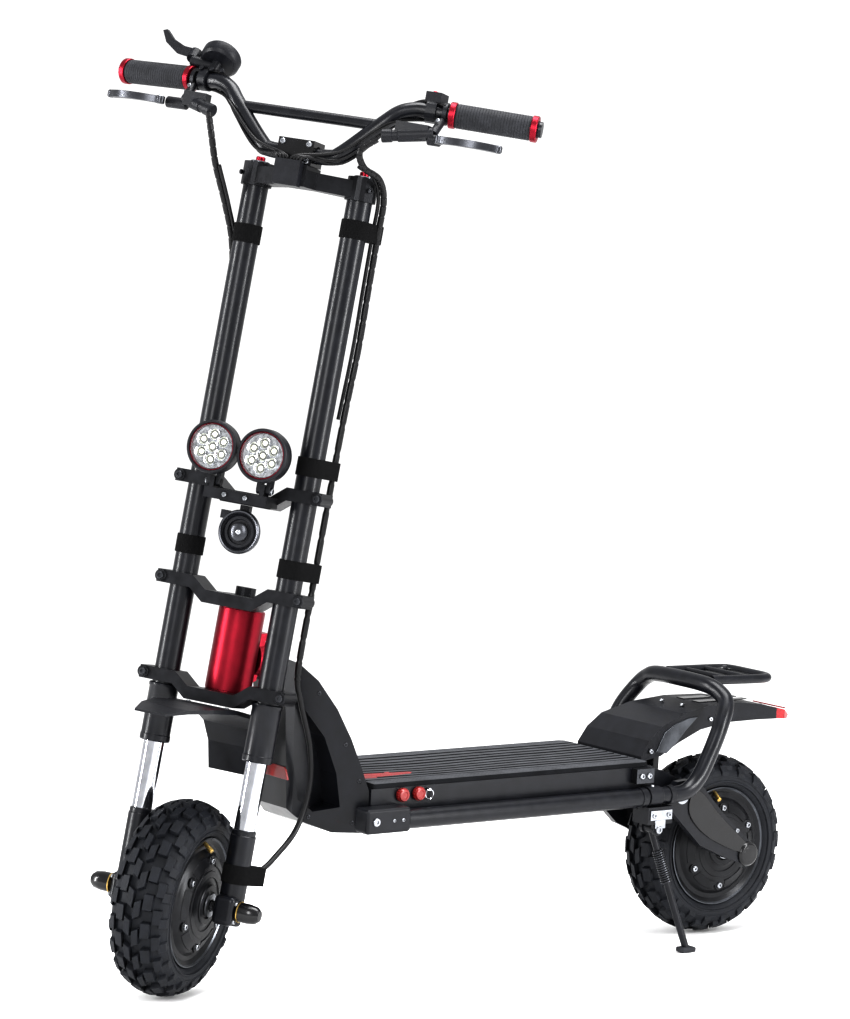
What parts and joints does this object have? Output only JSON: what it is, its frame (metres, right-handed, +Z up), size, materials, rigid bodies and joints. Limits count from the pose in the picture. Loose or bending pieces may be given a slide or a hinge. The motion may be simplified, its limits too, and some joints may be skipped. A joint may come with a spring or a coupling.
{
  "type": "electric kick scooter",
  "caption": "Off-road electric kick scooter with twin-leg front fork, knobby tyres, wide deck, rear hoop and rack, parked on its kickstand with the bars turned.",
  "frame": {"origin": "under the middle of the box around the parked scooter, on the floor", "axes": "+X to the rider's left, -Y is the way the scooter rides, +Z up. The scooter leans 4.72 degrees to its left onto the kickstand and its bars are turned 31.2 degrees to the left."},
  "size_m": [0.5592, 1.2836, 1.3621],
  "materials": {
    "paint": "satin black powder coat",
    "plastic": "matte black moulded plastic",
    "motor": "satin black cast motor shell",
    "mat": "matte grooved rubber",
    "rubber": "matte ribbed grip rubber",
    "tyre": "matte knobby tyre",
    "red": "satin red anodised",
    "lamp": "clear red lens",
    "chrome": "polished",
    "steel": "satin zinc",
    "grey": "satin grey anodised"
  },
  "bodies": {
    "frame": {"frame_deck": "paint", "deck_mat": "mat", "neck_arch": "paint", "hoop": "paint", "rack": "paint", "rear_fender": "plastic", "tail_light": "lamp", "rail_left": "paint", "rail_right": "paint", "bracket_left": "steel", "bracket_right": "steel", "kickstand_mount": "paint", "rear_shock_body": "paint"},
    "front_port_cap": {"charge_cap_front": "red"},
    "rear_port_cap": {"charge_cap_rear": "red"},
    "lock_collar": {"fold_collar": "paint"},
    "kickstand": {"kickstand_leg": "paint", "kickstand_spring": "steel"},
    "rear_arm": {"swingarm": "paint", "rear_axle": "plastic", "rear_caliper": "paint"},
    "shock_rod": {"rear_shock_rod": "steel"},
    "rear_wheel": {"rear_hub": "motor", "rear_tyre": "tyre", "rear_rotor": "steel"},
    "head": {"head_tube": "red"},
    "steering": {"crown_lower": "paint", "crown_middle": "paint", "crown_light": "paint", "crown_top": "paint", "leg_left": "paint", "leg_right": "paint", "horn": "chrome", "front_fender": "plastic", "handlebar": "paint", "bar_clamp": "grey", "cable_box": "plastic", "grip_left": "rubber", "grip_right": "rubber", "brake_body_left": "plastic", "brake_body_right": "plastic", "display": "plastic", "switch_pod": "plastic", "cable_left": "plastic", "cable_right": "plastic"},
    "left_light": {"headlight_left": "plastic"},
    "right_light": {"headlight_right": "plastic"},
    "left_lever": {"brake_lever_left": "grey"},
    "right_lever": {"brake_lever_right": "grey"},
    "throttle": {"throttle_lever": "plastic"},
    "lower_fork": {"slider_left": "paint", "slider_right": "paint", "stanchion_left": "chrome", "stanchion_right": "chrome", "front_axle": "plastic", "front_caliper": "paint"},
    "front_wheel": {"front_hub": "motor", "front_tyre": "tyre", "front_rotor": "steel"}
  },
  "joints": [
    {"name": "fold", "type": "hinge", "parent": "frame", "child": "head", "pos_m": [-0.07919, -0.35702, 0.49999], "axis": [-0.9966, 0, 0.0823], "range_deg": [0, 88]},
    {"name": "steer", "type": "hinge", "parent": "head", "child": "steering", "pos_m": [-0.08018, -0.40667, 0.48805], "axis": [0.0812, 0.1647, 0.983], "range_deg": [-66.2, 3.8]},
    {"name": "fork_travel", "type": "slide", "parent": "steering", "child": "lower_fork", "axis": [0.0812, 0.1647, 0.983], "range_m": [-0.01, 0.07], "stiffness_N_per_m": 12000, "springref_m": -0.015},
    {"name": "front_spin", "type": "hinge", "parent": "lower_fork", "child": "front_wheel", "pos_m": [-0.08339, -0.50682, 0.14131], "axis": [0.8454, 0.511, -0.1554], "continuous": true},
    {"name": "rear_swing", "type": "hinge", "parent": "frame", "child": "rear_arm", "pos_m": [-0.10039, 0.35484, 0.2432], "axis": [0.9966, 0, -0.0823], "range_deg": [-4, 12], "stiffness_Nm_per_rad": 500, "springref_deg": -4.01},
    {"name": "shock_travel", "type": "slide", "parent": "frame", "child": "shock_rod", "axis": [0, -1, 0], "range_m": [-0.00252, 0.00755]},
    {"name": "rear_spin", "type": "hinge", "parent": "rear_arm", "child": "rear_wheel", "pos_m": [-0.10879, 0.49484, 0.14154], "axis": [0.9966, 0, -0.0823], "continuous": true},
    {"name": "kickstand_fold", "type": "hinge", "parent": "frame", "child": "kickstand", "pos_m": [0.01159, 0.28584, 0.1898], "axis": [0.9966, 0, -0.0823], "range_deg": [0, 78]},
    {"name": "collar_turn", "type": "hinge", "parent": "frame", "child": "lock_collar", "pos_m": [-0.08188, -0.36814, 0.46749], "axis": [-0.0136, 0.9863, -0.1641], "range_deg": [0, 180]},
    {"name": "front_port_pull", "type": "slide", "parent": "frame", "child": "front_port_cap", "axis": [0.9966, 0, -0.0823], "range_m": [0, 0.01]},
    {"name": "rear_port_pull", "type": "slide", "parent": "frame", "child": "rear_port_cap", "axis": [0.9966, 0, -0.0823], "range_m": [0, 0.01]},
    {"name": "left_light_tilt", "type": "hinge", "parent": "steering", "child": "left_light", "pos_m": [0.017, -0.42435, 0.71086], "axis": [0.8454, 0.511, -0.1554], "range_deg": [-10, 10]},
    {"name": "right_light_tilt", "type": "hinge", "parent": "steering", "child": "right_light", "pos_m": [-0.0481, -0.46369, 0.72283], "axis": [0.8454, 0.511, -0.1554], "range_deg": [-10, 10]},
    {"name": "left_brake_pull", "type": "hinge", "parent": "steering", "child": "left_lever", "pos_m": [0.20768, -0.266, 1.19096], "axis": [0.0812, 0.1647, 0.983], "range_deg": [0, 12], "stiffness_Nm_per_rad": 0.8, "springref_deg": -5.73},
    {"name": "right_brake_pull", "type": "hinge", "parent": "steering", "child": "right_lever", "pos_m": [-0.15248, -0.48366, 1.25717], "axis": [-0.0812, -0.1647, -0.983], "range_deg": [0, 12], "stiffness_Nm_per_rad": 0.8, "springref_deg": -5.73},
    {"name": "throttle_pull", "type": "hinge", "parent": "steering", "child": "throttle", "pos_m": [-0.16337, -0.42187, 1.3174], "axis": [0.275, -0.6659, -0.6935], "range_deg": [0, 20], "stiffness_Nm_per_rad": 0.4, "springref_deg": -5.73}
  ],
  "couplings": [
    {"joint": "shock_travel", "follows": "rear_swing", "m_per_rad": 0.036}
  ]
}
